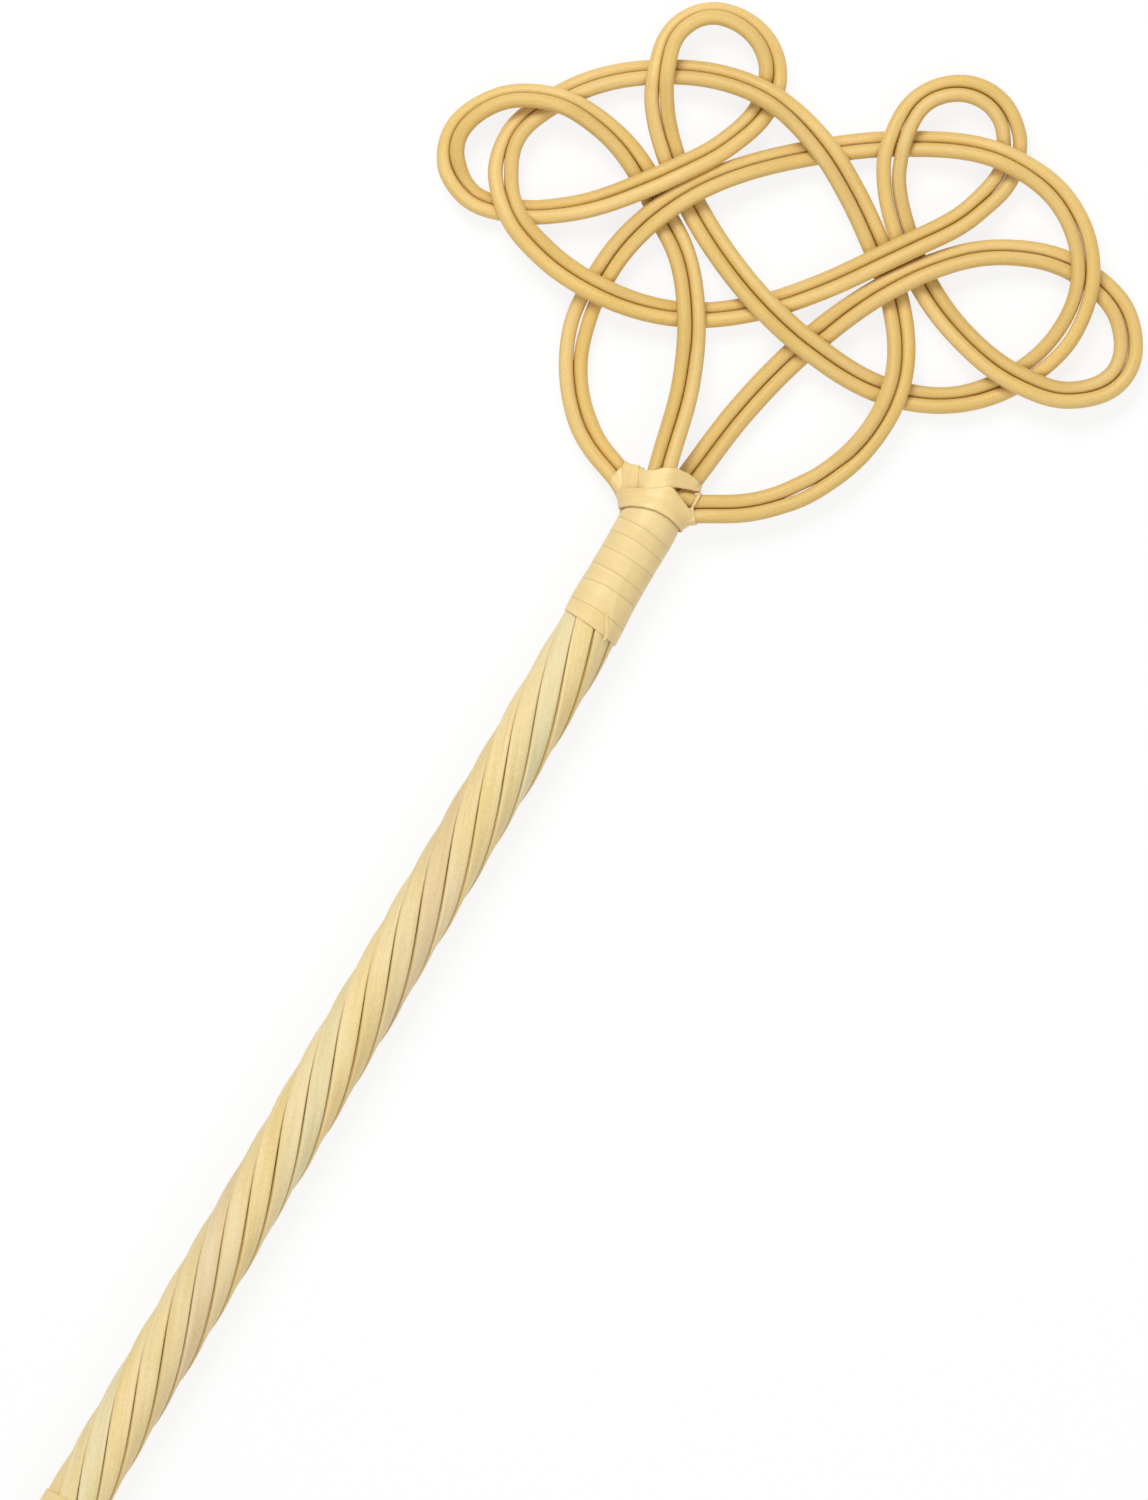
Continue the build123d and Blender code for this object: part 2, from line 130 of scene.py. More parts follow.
PAIR_B = [
    (3.7, 133, -1.2, 4.7, 0.9), (7, 160, -1, 4.8, 0.8), (14.9, 191.6, -1, 5, 0.7),
    (30.1, 224.9, 1, 4.4, 1), (35.8, 233.4, 1, 4.1, 1), (56, 253.4, -0.5, 4.2, 1),
    (85.8, 262.1, -1.1, 4.6, 1), (106.4, 254.8, -0.5, 5, 0.9), (114, 238.4, 0, 4.6, -0.4),
    (102.8, 223.1, 0.8, 4.4, -1), (84, 218.6, 1.1, 4.8, -1), (59.5, 222.1, 0, 4.7, -1),
    (36.2, 233, -1, 5, -0.8), (28, 239.1, -1, 5, -0.7), (6.4, 268.4, 1, 4.8, 0),
    (7.3, 286.9, 0.5, 4.2, 1), (26, 298.1, 0, 4.8, 1), (44.1, 282.6, -1, 5, 0.8),
    (41.7, 262.3, 0, 4.4, -0.9), (28.3, 239.1, 1, 4.3, -1), (22.6, 230.7, 1, 4.3, -1),
    (9.6, 212.2, 0, 4.3, -1), (-4.5, 196.1, -1.1, 4.2, -1), (-24.8, 180.7, -1, 4.1, -1),
    (-58.5, 171.6, 1, 4.6, -1), (-80, 173.4, 1, 4.7, -0.7), (-96, 179.5, 1.1, 4.6, -1),
    (-109.4, 202.5, 0, 4.3, 1), (-103.4, 220.6, -1.2, 4, 1), (-76.6, 248.1, -1, 3.9, 1),
    (-40.1, 259.3, 1, 4.2, 1), (-14.1, 253.5, 1.1, 4.9, 1), (2.1, 245.1, 0.2, 5, 1),
    (16.9, 235.2, -0.6, 5, 0.6), (22.6, 231, -1, 5, 0.7), (30.4, 224.3, -1, 5, 1),
    (49.7, 193.1, 1, 4.8, 0.8), (50.2, 175.5, 0.8, 4.8, 1), (41.9, 151.4, 0.4, 5, -1),
    (27.4, 134, 0.3, 5, -1), (10.9, 123.4, 1.8, 5, -0.7),
]
# Where the two canes of a pair stand apart: middle, half length and width of the slit
SLITS = {
    "A": [(-71.5, 240.5, 6, 0.6), (91, 239, 11, 0.6), (-56.5, 159, 9, 0.8), (-36.4, 130.5, 5, 0.4)],
    "B": [(-105, 191.5, 8, 0.6), (8.2, 263, 5, 0.6), (41.5, 290, 4, 0.6), (38.6, 147.4, 6, 0.5)],
}
LEFT_LEG_BEND = (-7.5, 114.6, 1.9)
RIGHT_LEG_BEND = (3.4, 123.0, 2.7)
CANES = {
    "cane_a_left": ("A", -1, (5, 0), [], []),
    "cane_a_right": ("A", 1, (6, 7), [LEFT_LEG_BEND], []),
    "cane_b_left": ("B", -1, (4, 2), [], []),
    "cane_b_right": ("B", 1, (3, 1), [], [RIGHT_LEG_BEND]),
}

# Colours as they look in daylight, red, green and blue up to 255
HEAD_COLOURS = {
    "cane_a_left": (228, 193, 118), "cane_a_right": (225, 190, 114),
    "cane_b_left": (227, 192, 117), "cane_b_right": (224, 189, 115),
}
STRAND_COLOURS = [
    (232, 209, 155), (229, 205, 158), (234, 211, 156), (237, 213, 154),
    (234, 212, 156), (233, 217, 168), (237, 212, 150), (234, 210, 152),
]


def linear(colour):
    """Linear light of a colour given in 0 to 255."""
    c = np.array(colour, float) / 255
    return np.where(c <= 0.04045, c / 12.92, ((c + 0.055) / 1.055) ** 2.4)


def unit(v):
    return v / np.maximum(np.linalg.norm(v, axis=-1, keepdims=True), 1e-9)


def place(spot):
    """A table's spot in the model's millimetres."""
    return np.array([spot[0] + AXIS_X, spot[1] + ROUTE_Y, HEAD_Z + spot[2] * RISE])


def level_unit(v):
    """The direction of v in the plane of the head."""
    v = v.copy()
    v[..., 2:] = 0
    return unit(v)


def heading_at(before, here, after):
    arriving = level_unit(here - before) * np.linalg.norm(after - here)
    leaving = level_unit(after - here) * np.linalg.norm(here - before)
    return level_unit(arriving + leaving)


def flow(points, headings, step):
    """Smooth line through the points along their headings, sampled about every step."""
    out = []
    for p, q, u, v in zip(points[:-1], points[1:], headings[:-1], headings[1:]):
        chord = q - p
        length = np.linalg.norm(chord)
        c = chord / length
        a = p + u * length / 3 * 2 / (1 + max(c @ u, SHARPEST_COSINE))
        b = q - v * length / 3 * 2 / (1 + max(c @ v, SHARPEST_COSINE))
        count = max(3, int(length / step))
        t = (np.arange(count) / count)[:, None]
        out.append((1 - t) ** 3 * p + 3 * (1 - t) ** 2 * t * a + 3 * (1 - t) * t**2 * b + t**3 * q)
    out.append(points[-1][None])
    return np.vstack(out)


def run_lengths(points):
    return np.concatenate([[0], np.cumsum(np.linalg.norm(np.diff(points, axis=0), axis=1))])


def evenly(points, step):
    s = run_lengths(points)
    at = np.linspace(0, s[-1], int(s[-1] / step) + 1)
    return np.stack([np.interp(at, s, points[:, i]) for i in range(points.shape[1])], 1)


def soften(values, spread):
    """Gaussian smoothing along the first axis that keeps both ends in place."""
    reach = int(spread * 4) + 1
    kernel = np.exp(-0.5 * (np.arange(-reach, reach + 1) / spread) ** 2)
    kernel /= kernel.sum()
    values = np.asarray(values, float)
    flat = values.reshape(len(values), -1)
    reach = min(reach, len(values) - 1)
    kernel = kernel[len(kernel) // 2 - reach : len(kernel) // 2 + reach + 1]
    kernel /= kernel.sum()
    head = 2 * flat[0] - flat[reach:0:-1]
    tail = 2 * flat[-1] - flat[-2 : -reach - 2 : -1]
    padded = np.vstack([head, flat, tail])
    out = np.stack([np.convolve(padded[:, i], kernel, "valid") for i in range(flat.shape[1])], 1)
    return out.reshape(values.shape)


def ease(t):
    t = np.clip(t, 0, 1)
    return t * t * (3 - 2 * t)


def drift(count, spread, size):
    """Slow seeded wander of about the given size."""
    noise = rng.normal(size=count + int(8 * spread))
    kernel = np.exp(-0.5 * (np.arange(-int(4 * spread), int(4 * spread) + 1) / spread) ** 2)
    slow = np.convolve(noise, kernel, "same")[:count]
    return slow / max(slow.std(), 1e-9) * size


def pair_line(table):
    """Middle line of a pair, with how far apart its canes lie and which is higher."""
    points = [np.append(place(spot), spot[3:]) for spot in table]
    headings = [level_unit(points[1] - points[0])]
    headings += [heading_at(*points[i - 1 : i + 2]) for i in range(1, len(points) - 1)]
    headings += [level_unit(points[-1] - points[-2])]
    line = evenly(flow(points, headings, FINE_STEP), STEP)
    return np.column_stack([soften(line[:, :2], ROUTE_SPREAD), soften(line[:, 2:], HEIGHT_SPREAD)])


def slot_angle(slot):
    return math.radians(FIRST_SLOT_ANGLE + SLOT_STEP * slot)


def ring_point(slot):
    a = slot_angle(slot)
    across = AXIS_X + NECK_SHIFT + RING_RADIUS * math.sin(a)
    return np.array([across, RING_Y, AXIS_Z + RING_RADIUS * math.cos(a)])


def head_line(name):
    """Middle line of a cane in the head, from its first slot in the ring to its last."""
    pair, side, slots, first_bends, last_bends = CANES[name]
    middle, apart, proud = np.split(PAIR_LINES[pair], (3, 4), axis=1)
    apart, proud = apart[:, 0], proud[:, 0]
    apart = apart + (1 - np.abs(proud)) * np.maximum(2 * CANE_RADIUS + TOUCH_GAP - apart, 0)
    along = level_unit(np.gradient(middle, axis=0))
    beside = np.column_stack([along[:, 1], -along[:, 0], np.zeros(len(along))])
    wander = drift(len(middle), *WANDER)
    run = run_lengths(middle)
    for x, y, reach, width in SLITS[pair]:
        off = np.hypot(*(middle[:, :2] - place((x, y, 0))[:2]).T)
        away = (run - run[np.argmin(off)]) / (reach * SLIT_SHARPNESS)
        apart += width * np.exp(-0.5 * away**2)
    line = middle + beside * (side * apart / 2 + wander)[:, None]
    line = line + UP * (proud * side * PROUD_HEIGHT)[:, None]
    first = [ring_point(slots[0]), *map(place, first_bends), line[0]]
    last = [line[-1], *map(place, last_bends), ring_point(slots[1])]
    past = first + [line[HEADING_AHEAD]]
    lead = [heading_at(*past[i - 1 : i + 2]) for i in range(1, len(first) - 1)]
    before = [line[-1 - HEADING_AHEAD]] + last[1:]
    tail = [heading_at(*before[i - 1 : i + 2]) for i in range(1, len(last) - 1)]
    lead = [FORWARD, *lead, along[0]]
    tail = [along[-1], *tail, -FORWARD]
    whole = [flow(first, lead, FINE_STEP)[:-1], line, flow(last, tail, FINE_STEP)[1:]]
    return evenly(np.vstack(whole), STEP)


def part_layers(lines, reach):
    """Lift and lower the canes where they cross, until they only touch."""
    points = np.vstack(lines)
    owner = np.concatenate([np.full(len(line), i) for i, line in enumerate(lines)])
    index = np.concatenate([np.arange(len(line)) for line in lines])
    crossing = points[:, 1] > CROSSINGS_FROM_Y
    pairs = []
    for i in range(len(points)):
        near = np.hypot(*(points[i + 1 :, :2] - points[i, :2]).T) < reach
        near &= (owner[i + 1 :] != owner[i]) | (index[i + 1 :] - index[i] > OWN_NEIGHBOURS)
        near &= crossing[i + 1 :] & crossing[i]
        pairs += [(i, i + 1 + j) for j in np.nonzero(near)[0]]
    a, b = np.array(pairs).T
    flat = np.hypot(*(points[a, :2] - points[b, :2]).T)
    need = np.sqrt(np.maximum(reach**2 - flat**2, 0))
    z = points[:, 2].copy()
    ends = np.cumsum([len(line) for line in lines])[:-1]
    for turn in range(PARTING_TURNS):
        if turn % SMOOTH_EVERY == SMOOTH_EVERY // 2 and turn < SMOOTH_UNTIL:
            z = np.concatenate([soften(one, HEIGHT_SPREAD) for one in np.split(z, ends)])
        gap = z[a] - z[b]
        short = np.maximum(need - np.abs(gap), 0) * 0.5 * np.where(gap >= 0, 1, -1)
        push = np.zeros(len(z))
        np.maximum.at(push, a, short)
        np.maximum.at(push, b, -short)
        pull = np.zeros(len(z))
        np.minimum.at(pull, a, short)
        np.minimum.at(pull, b, -short)
        z = np.maximum(z + (push + pull) * PARTING_SHARE, CANE_RADIUS + FLOOR_GAP)
    points[:, 2] = np.concatenate([soften(one, FINAL_SPREAD) for one in np.split(z, ends)])
    return np.split(points, ends)


def mesh_object(name, verts, faces, attributes, sharp=50):
    mesh = bpy.data.meshes.new(name)
    mesh.from_pydata((np.asarray(verts) * MM).tolist(), [], faces)
    for key, (kind, values) in attributes.items():
        layer = mesh.attributes.new(key, kind, "POINT")
        field = {"FLOAT_VECTOR": "vector", "FLOAT_COLOR": "color", "FLOAT": "value"}[kind]
        layer.data.foreach_set(field, np.asarray(values, np.float32).ravel())
    mesh.shade_smooth()
    mesh.set_sharp_from_angle(angle=math.radians(sharp))
    obj = bpy.data.objects.new(name, mesh)
    bpy.context.scene.collection.objects.link(obj)
    return obj


def grain_field(parts, shape):
    """Place in the wood of each point: across, deep and along the fibres."""
    return np.stack([np.broadcast_to(part, shape) for part in parts], 2).reshape(-1, 3)


SIDES = 24
# How far the painted shade reaches from a touching cane, and where the painted shade on the
# strands' seams begins and how fast it grows
CONTACT_SHADE_REACH = 0.8
SEAM_FROM = 0.92
SEAM_FADE = 0.06
CANE_GRAIN_OFFSET = 3000
STRIP_GRAIN_OFFSET = 1000


def contact_shade_amount(name, verts):
    """How near each point of a cane comes to the other canes, from 0 to 1 where they touch: the
    share of painted shade there.
    """
    others = [evenly(line, FINE_STEP) for other, line in lines.items() if other != name]
    others = np.vstack(others)
    tree = KDTree(len(others))
    for i, point in enumerate(others):
        tree.insert(point, i)
    tree.balance()
    away = np.array([tree.find(v)[2] for v in verts])
    return np.clip((CANE_RADIUS + CONTACT_SHADE_REACH - away) / CONTACT_SHADE_REACH, 0, 1)


def neck_shift(y):
    return NECK_SHIFT * ease((y - NECK_SHIFT_FROM_Y) / NECK_SHIFT_LENGTH)


# Radius of the winding's inner face along the handle, and how the strands under it are pressed in
NECK_SKIN = [(65, 74, 84, 96, 104, 110, 115), (10.35, 10.3, 9.95, 9.9, 10.1, 9.8, 9.3)]
TUCK_DEPTH = 0.35
TUCK_FROM_Y = 74
TUCK_TO_Y = 106
TUCK_FADE = 3
TUCK_REACH = 13


def tuck(verts):
    """Press the strands in where the neck binding is wound over them."""
    y = verts[..., 1]
    x = verts[..., 0] - AXIS_X - neck_shift(y)
    z = verts[..., 2] - AXIS_Z
    out = np.hypot(x, z)
    room = np.interp(y, *NECK_SKIN) - TUCK_DEPTH
    wound_over = np.clip((y - TUCK_FROM_Y) / TUCK_FADE, 0, 1)
    wound_over = wound_over * np.clip((TUCK_TO_Y - y) / TUCK_FADE, 0, 1) * (out < TUCK_REACH)
    shrink = 1 - wound_over * (1 - np.minimum(1, room / np.maximum(out, 0.1)))
    return np.stack([verts[..., 0] + x * (shrink - 1), y, AXIS_Z + z * shrink], -1)


def strand_rows(name, slot):
    """One strand of the handle up to the ring, with into falling from 1 in the twist to 0 there."""
    base = slot_angle(slot)
    y = np.arange(BUTT_Y, TWIST_Y, HANDLE_STEP)
    y = np.concatenate([y, np.arange(TWIST_Y, RING_Y, STEP)])
    below_neck = np.maximum(TWIST_Y - y, 0)
    into = ease((RING_Y - y) / (RING_Y - TWIST_Y))
    slim = ease((y - SLIM_FROM_Y) / SLIM_LENGTH)
    twist = below_neck * 2 * math.pi / TWIST_PITCH
    settle = np.radians(NECK_SETTLE) * np.exp(-below_neck / SETTLE_LENGTH)
    angle = base + np.radians(NECK_TURN) * into + twist + settle * into
    bumps = drift(len(y), *BUMPS) * (y < TWIST_Y - SMOOTH_BEFORE_TWIST)
    radius = STRAND_RADIUS + (RING_RADIUS - STRAND_RADIUS) * slim
    radius = radius + np.minimum(bumps, HIGHEST_BUMP)
    across = AXIS_X + NECK_SHIFT * slim + radius * np.sin(angle)
    centre = np.column_stack([across, y, AXIS_Z + radius * np.cos(angle)])
    wrapped = (base + math.radians(NECK_TURN) + math.pi) % (2 * math.pi) - math.pi
    lean = np.where(y >= TWIST_Y, into * wrapped, wrapped + twist) + settle * into
    lean = lean + STRAND_TILT * into
    up = np.column_stack([np.sin(lean), np.zeros(len(y)), np.cos(lean)])
    depth = CANE_RADIUS + (STRAND_DEPTH - CANE_RADIUS) * into
    width = CANE_RADIUS + (STRAND_WIDTH - CANE_RADIUS) * into
    mix = ease((y - TWIST_Y) / (RING_Y - TWIST_Y))[:, None]
    colour = linear(STRAND_COLOURS[slot]) * (1 - mix) + linear(HEAD_COLOURS[name]) * mix
    return centre, up, depth[:, None], width[:, None], into[:, None], colour


def cane_rows(name, line):
    """Rows of a whole cane: up the twist, round the head and back down the twist."""
    first, last = (strand_rows(name, slot) for slot in CANES[name][2])
    last = [row[::-1] for row in last]
    tangent = unit(np.gradient(line, axis=0))
    tangent[0] = FORWARD
    tangent[-1] = -FORWARD
    thick = CANE_RADIUS * (1 + drift(len(line), *THICKNESS_DRIFT)[:, None])
    colour = linear(HEAD_COLOURS[name])[None] * (1 + drift(len(line), *COLOUR_DRIFT)[:, None])
    upward = unit(UP - tangent * tangent[:, 2:3])
    head = [line, upward, thick, thick, np.zeros((len(line), 1)), colour]
    strands = [np.tile(FORWARD * way, (len(rows[0]), 1)) for way, rows in ((1, first), (-1, last))]
    tangent = np.vstack([strands[0], tangent, strands[1]])
    return tangent, *(np.vstack(rows) for rows in zip(first, head, last))


def squarer(values, power):
    return np.sign(values) * np.abs(values) ** power


def cane_object(name, line):
    """One cane as a closed tube with flat cut ends."""
    tangent, centre, up, depth, width, into, colour = cane_rows(name, line)
    count = len(centre)
    side = np.cross(tangent, up)
    turn = np.arange(SIDES) * 2 * math.pi / SIDES
    power = 1 - STRAND_SQUARENESS * into
    ring_cos = squarer(np.cos(turn), power)
    ring_sin = squarer(np.sin(turn), power)
    keystone = 1 + STRAND_KEYSTONE * into * ring_cos
    verts = (
        centre[:, None]
        + up[:, None] * (depth * ring_cos)[..., None]
        + side[:, None] * (width * keystone * ring_sin)[..., None]
    )
    verts = tuck(verts)
    flat = verts.reshape(-1, 3)
    run = run_lengths(centre) + CANE_GRAIN_OFFSET * list(CANES).index(name)
    across, deep = np.cos(turn) * CANE_RADIUS, np.sin(turn) * CANE_RADIUS
    grain = grain_field((across, deep, run[:, None]), verts.shape[:2])
    tint = np.concatenate([np.repeat(colour, SIDES, 0), np.ones((count * SIDES, 1))], 1)
    # Painted shade: a darker brown where the canes touch and along the seams between the handle's
    # strands
    touch = contact_shade_amount(name, flat).reshape(verts.shape[:2]) * (1 - into)
    seam = np.clip((np.abs(ring_sin) - SEAM_FROM) / SEAM_FADE, 0, 1)
    contact_shade = (touch + STRAND_SEAM_SHADE * into * seam).reshape(-1)
    cut = np.zeros(len(flat))
    faces = []
    for i in range(0, (count - 1) * SIDES, SIDES):
        for j in range(SIDES):
            k = (j + 1) % SIDES
            faces.append((i + j, i + k, i + SIDES + k, i + SIDES + j))
    for row, order in ((0, 1), (count - 1, -1)):
        own = len(flat)
        rim = slice(row * SIDES, row * SIDES + SIDES)
        flat = np.vstack([flat, flat[rim], centre[row][None]])
        cut = np.concatenate([cut, np.ones(SIDES + 1)])
        contact_shade = np.concatenate([contact_shade, np.zeros(SIDES + 1)])
        grain = np.vstack([grain, grain[rim], [[0, 0, run[row]]]])
        tint = np.vstack([tint, np.tile(tint[row * SIDES], (SIDES + 1, 1))])
        for j in range(SIDES):
            faces.append((own + j, own + (j + 1) % SIDES, own + SIDES)[::order])
    attributes = {
        "grain": ("FLOAT_VECTOR", grain),
        "tint": ("FLOAT_COLOR", tint),
        "cut": ("FLOAT", cut),
        "contact_shade": ("FLOAT", contact_shade),
    }
    return mesh_object(name.replace("cane", "rod"), flat, faces, attributes)


# A strip's cross-section: where its points lie over its width, how high they stand as shares of
# its thickness, and below which of them the underside has its own points
HALF = np.array([-0.5, -0.485, -0.44, -0.3, -0.1, 0.1, 0.3, 0.44, 0.485, 0.5])
PROFILE = np.array([0.35, 0.75, 0.96, 1.0, 1.0, 1.0, 1.0, 0.96, 0.75, 0.35])
FLUSH_PROFILE = np.array([0.8, 0.92, 1.0, 1.0, 1.0, 1.0, 1.0, 1.0, 0.92, 0.8])
UNDERSIDE = [9, 6, 3, 0]
# Where the painted shade along a strip's edges begins over its width, and how fast it grows
RIM_FROM = 0.44
RIM_FADE = 0.06


def sheet_object(name, rows, normals, closed, seed, thickness, rise):
    """A thin strip on a curved face. Each row crosses the strip from its low to its high edge."""
    outer = rows + normals * (thickness * rise)[None, :, None]
    verts = np.concatenate([outer, rows[:, UNDERSIDE]], axis=1)
    count, sides = verts.shape[:2]
    wide = np.linalg.norm(rows[:, -1] - rows[:, 0], axis=1)
    over = np.concatenate([HALF, HALF[UNDERSIDE]])
    deep = np.concatenate([rise * thickness, np.zeros(len(UNDERSIDE))])
    run = run_lengths(rows[:, 5]) + STRIP_GRAIN_OFFSET * seed
    grain = grain_field((wide[:, None] * over, deep, run[:, None]), verts.shape[:2])
    # Share of painted shade along the strip's edges
    rim = np.clip((np.abs(over) - RIM_FROM) / RIM_FADE, 0, 1)
    rim = np.broadcast_to(rim, verts.shape[:2])
    faces = []
    for i in range(count if closed else count - 1):
        n = (i + 1) % count
        for j in range(sides):
            k = (j + 1) % sides
            faces.append((i * sides + j, n * sides + j, n * sides + k, i * sides + k))
    if not closed:
        faces.append(tuple(range(sides)))
        faces.append(tuple(range((count - 1) * sides, count * sides))[::-1])
    attributes = {"grain": ("FLOAT_VECTOR", grain), "rim": ("FLOAT", rim.reshape(-1))}
    return mesh_object(name, verts.reshape(-1, 3), faces, attributes, sharp=70)


def round_handle(radius, a, y):
    """Points and normals at the given radii, angles and places along the handle."""
    across = AXIS_X + neck_shift(y) + radius * np.sin(a)
    rows = np.stack([across, y, AXIS_Z + radius * np.cos(a)], 2)
    return rows, np.stack([np.sin(a), np.zeros(a.shape), np.cos(a)], 2)


WINDING_STEP = 4.0
WINDING_START = -150
RIDGE_WIDTH = 4
TAIL_LIFT = 0.5
TAIL_THICKNESS = 0.6
TAIL_STEP = 0.4
TAIL_SPREAD = 2.0
EDGE_SPREAD = 4


def wound(name, seams, skin, seed, ridge=None):
    """A strip wound round the handle. Each seam is its height at the left, on top and at right."""
    knots = [(360 * i + 90 * k, y) for i, row in enumerate(seams) for k, y in zip((-1, 0, 1), row)]
    turns, heights = np.array(knots).T
    angle = np.arange(WINDING_START, turns[-1] - 359, WINDING_STEP)
    every = np.arange(WINDING_START, turns[-1] + 1, WINDING_STEP)
    edge = soften(np.interp(every, turns, heights), EDGE_SPREAD) + ROUTE_Y
    low = np.interp(angle, every, edge)
    high = np.interp(angle + 360, every, edge)
    y = low[:, None] + (HALF + 0.5) * (high - low)[:, None]
    a = np.radians(angle)[:, None] * np.ones(len(HALF))
    radius = np.interp(y, *skin)
    if ridge is not None:
        off = (angle[:, None] - np.interp(y, *ridge[:2]) + 180) % 360 - 180
        radius = radius + np.interp(y, *ridge[::2]) * np.exp(-0.5 * (off / RIDGE_WIDTH) ** 2)
    rows, normals = round_handle(radius, a, y)
    return sheet_object(name, rows, normals, False, seed, STRIP_THICKNESS, FLUSH_PROFILE)


def folded_tail(name, path, widths, skin, seed):
    """The end of a strip laid on the winding: a path across and along, and its widths."""
    line = evenly(np.column_stack([path, widths]), TAIL_STEP)
    line = np.column_stack([soften(line[:, :2], TAIL_SPREAD), line[:, 2]])
    y = line[:, 1] + ROUTE_Y
    radius = np.interp(y, *skin) + TAIL_LIFT
    arc = np.arcsin((line[:, 0] - neck_shift(y)) / radius) * radius
    along = unit(np.column_stack([np.gradient(arc), np.gradient(y)]))
    over = line[:, 2:] * HALF[None]
    arc = arc[:, None] - along[:, 1:] * over
    y = y[:, None] + along[:, :1] * over
    radius = np.interp(y, *skin) + TAIL_LIFT
    rows, normals = round_handle(radius, arc / radius, y)
    return sheet_object(name, rows, normals, False, seed, TAIL_THICKNESS, PROFILE)


HALF_LOOP = 48
ORIGIN = np.array([AXIS_X, ROUTE_Y, 0.0])
STATION_STEP = 0.5
SKIN_GAP = 0.1
SKIN_SPREAD = 2.0
ARC_SAMPLES = 181
EDGE_TURNS = 60
EDGE_SHARE = 0.3
NORMAL_REACH = 0.6


def tight_skin(way, reach, members, extra, limits=(-math.inf, math.inf)):
    """A tube drawn tight round canes: gives its points by how far along way they lie."""
    way = unit(np.array([*way, 0.0]))
    side = np.array([way[1], -way[0], 0.0])
    stations = np.arange(reach[0], reach[1], STATION_STEP)
    rows = []
    for t in stations:
        discs = list(extra(t))
        for line in members:
            height = (line - ORIGIN) @ way - t
            i = np.nonzero(np.sign(height[:-1]) != np.sign(height[1:]))[0]
            if len(i):
                i = i[-1]
                share = height[i] / (height[i] - height[i + 1])
                spot = line[i] + (line[i + 1] - line[i]) * share - ORIGIN
                discs.append((np.clip(spot @ side, *limits), spot[2], CANE_RADIUS + SKIN_GAP))
        discs = np.array(discs)
        loop = []
        for start, stop in ((math.pi, 0), (0, -math.pi)):
            psi = np.linspace(start, stop, ARC_SAMPLES)
            facing = np.column_stack([np.cos(psi), np.sin(psi)])
            best = np.argmax(facing @ discs[:, :2].T + discs[:, 2], 1)
            points = discs[best, :2] + facing * discs[best, 2:]
            run = run_lengths(points)
            even = np.linspace(0, run[-1], HALF_LOOP + 1)[:-1]
            loop.append(np.column_stack([np.interp(even, run, points[:, k]) for k in (0, 1)]))
        rows.append(np.vstack(loop))
    rows = soften(np.array(rows), SKIN_SPREAD)

    def at(t):
        f = np.clip((t - stations[0]) / STATION_STEP, 0, len(stations) - 1.001)
        i = f.astype(int)
        f = (f - i)[:, None]
        q = np.arange(len(t))
        flat = rows[i, q] * (1 - f) + rows[i + 1, q] * f
        points = ORIGIN + flat[:, :1] * side + t[:, None] * way + flat[:, 1:] * UP
        return points, flat[:, 0]

    def measure(spots):
        spots = np.array([(x, y, 0.0) for x, y in spots])
        table = np.column_stack([spots @ side, spots @ way])
        return table[np.argsort(table[:, 0])].T

    return at, measure


def patch(name, skin, low, high, seed, lift=0.0):
    """A strip on a tight skin, between edges given on top and underneath."""
    at, measure = skin
    top = np.arange(2 * HALF_LOOP) < HALF_LOOP
    edges = []
    for front, back in (low, high):
        front, back = measure(front), measure(back)
        t = np.full(2 * HALF_LOOP, front[1].mean())
        for _ in range(EDGE_TURNS):
            s = at(t)[1]
            aim = np.where(top, np.interp(s, *front), np.interp(s, *back))
            t = (1 - EDGE_SHARE) * t + EDGE_SHARE * aim
        edges.append(t)
    rows, normals = [], []
    for h in HALF + 0.5:
        t = edges[0] + (edges[1] - edges[0]) * h
        here = at(t)[0]
        along = at(t + NORMAL_REACH)[0] - at(t - NORMAL_REACH)[0]
        around = np.roll(here, -1, 0) - np.roll(here, 1, 0)
        normal = unit(np.cross(around, along))
        rows.append(here + normal * lift)
        normals.append(normal)
    rows, normals = np.stack(rows, 1), np.stack(normals, 1)
    return sheet_object(name, rows, normals, True, seed, STRIP_THICKNESS, PROFILE)


# Sockets of the colour form of the mix node, and the spans that most noise values fall in
MIX_FACTOR, MIX_A, MIX_B, MIX_RESULT = 0, 6, 7, 2
FULL = (0.0, 1.0)
WIDE = (0.3, 0.7)
NARROW = (0.35, 0.65)
PEAKS = (0.62, 0.75)


def nodes_of(name):
    material = bpy.data.materials.new(name)
    material.use_nodes = True
    tree = material.node_tree
    return material, tree, tree.nodes["Principled BSDF"]


def add(tree, kind, **values):
    """A new node, with each value set as its property or as its input."""
    node = tree.nodes.new(kind)
    for key, value in values.items():
        if hasattr(node, key) and key not in node.inputs:
            setattr(node, key, value)
        else:
            node.inputs[key].default_value = value
    return node


def attribute(tree, name, output="Fac"):
    return add(tree, "ShaderNodeAttribute", attribute_name=name).outputs[output]


def noise(tree, vector, scale, detail=3.0, rough=0.55):
    mapping = add(tree, "ShaderNodeMapping", Scale=scale)
    tree.links.new(vector, mapping.inputs["Vector"])
    node = add(tree, "ShaderNodeTexNoise", Scale=1.0, Detail=detail, Roughness=rough)
    tree.links.new(mapping.outputs["Vector"], node.inputs["Vector"])
    return node.outputs["Fac"]


def spread(tree, value, span, out):
    """The value stretched from its span to the one that comes out."""
    node = add(tree, "ShaderNodeMapRange")
    node.inputs["From Min"].default_value, node.inputs["From Max"].default_value = span
    node.inputs["To Min"].default_value, node.inputs["To Max"].default_value = out
    tree.links.new(value, node.inputs["Value"])
    return node.outputs["Result"]


